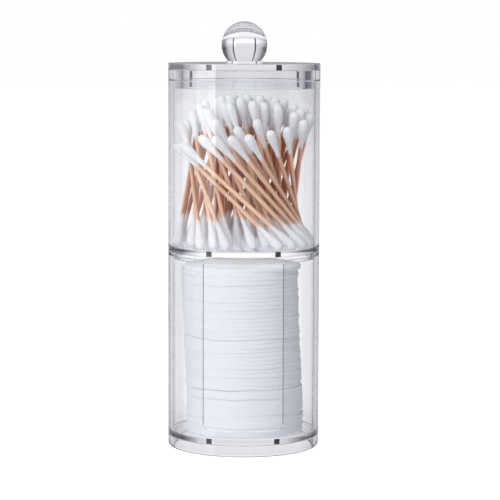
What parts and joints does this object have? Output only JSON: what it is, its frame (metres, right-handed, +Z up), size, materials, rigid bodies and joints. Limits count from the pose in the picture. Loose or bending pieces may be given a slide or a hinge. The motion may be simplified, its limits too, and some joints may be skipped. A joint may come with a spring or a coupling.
{
  "type": "cotton swab holder",
  "caption": "Clear round holder with a lidded upper jar full of cotton swabs, stacked on a lower jar with a front slot that holds a pile of round cotton pads.",
  "frame": {"origin": "middle of the foot ring, on the surface that the holder stands on", "axes": "+Z up along the jars' axis; -Y towards the pad slot in the front wall; +X to the right seen from the front"},
  "size_m": [0.075, 0.075, 0.2107],
  "materials": {
    "clear_plastic": "clear, polished",
    "cotton_pad": "matte, pressed fibre",
    "cotton_tip": "matte, wound fibre",
    "stick_wood": "bare, satin"
  },
  "bodies": {
    "pad_jar": {"pad_jar": "clear_plastic", "pad_01": "cotton_pad", "pad_02": "cotton_pad", "pad_03": "cotton_pad", "pad_04": "cotton_pad", "pad_05": "cotton_pad", "pad_06": "cotton_pad", "pad_07": "cotton_pad", "pad_08": "cotton_pad", "pad_09": "cotton_pad", "pad_10": "cotton_pad", "pad_11": "cotton_pad", "pad_12": "cotton_pad", "pad_13": "cotton_pad", "pad_14": "cotton_pad", "pad_15": "cotton_pad", "pad_16": "cotton_pad", "pad_17": "cotton_pad", "pad_18": "cotton_pad", "pad_19": "cotton_pad", "pad_20": "cotton_pad", "pad_21": "cotton_pad", "pad_22": "cotton_pad", "pad_23": "cotton_pad", "pad_24": "cotton_pad", "pad_25": "cotton_pad", "pad_26": "cotton_pad", "pad_27": "cotton_pad", "pad_28": "cotton_pad", "pad_29": "cotton_pad", "pad_30": "cotton_pad", "pad_31": "cotton_pad", "pad_32": "cotton_pad", "pad_33": "cotton_pad", "pad_34": "cotton_pad", "pad_35": "cotton_pad", "pad_36": "cotton_pad", "pad_37": "cotton_pad", "pad_38": "cotton_pad", "pad_39": "cotton_pad", "pad_40": "cotton_pad"},
    "swab_jar": {"swab_jar": "clear_plastic", "swab_sticks_1": "stick_wood", "swab_sticks_2": "stick_wood", "swab_sticks_3": "stick_wood", "swab_sticks_4": "stick_wood", "swab_sticks_5": "stick_wood", "swab_sticks_6": "stick_wood", "swab_sticks_7": "stick_wood", "swab_tips_1": "cotton_tip", "swab_tips_2": "cotton_tip", "swab_tips_3": "cotton_tip", "swab_tips_4": "cotton_tip", "swab_tips_5": "cotton_tip", "swab_tips_6": "cotton_tip", "swab_tips_7": "cotton_tip"},
    "lid": {"lid": "clear_plastic", "knob": "clear_plastic"}
  },
  "joints": [
    {"name": "swab_jar_lift", "type": "slide", "parent": "pad_jar", "child": "swab_jar", "axis": [0, 0, 1], "range_m": [0, 0.03]},
    {"name": "lid_lift", "type": "slide", "parent": "swab_jar", "child": "lid", "axis": [0, 0, 1], "range_m": [0, 0.04]}
  ]
}
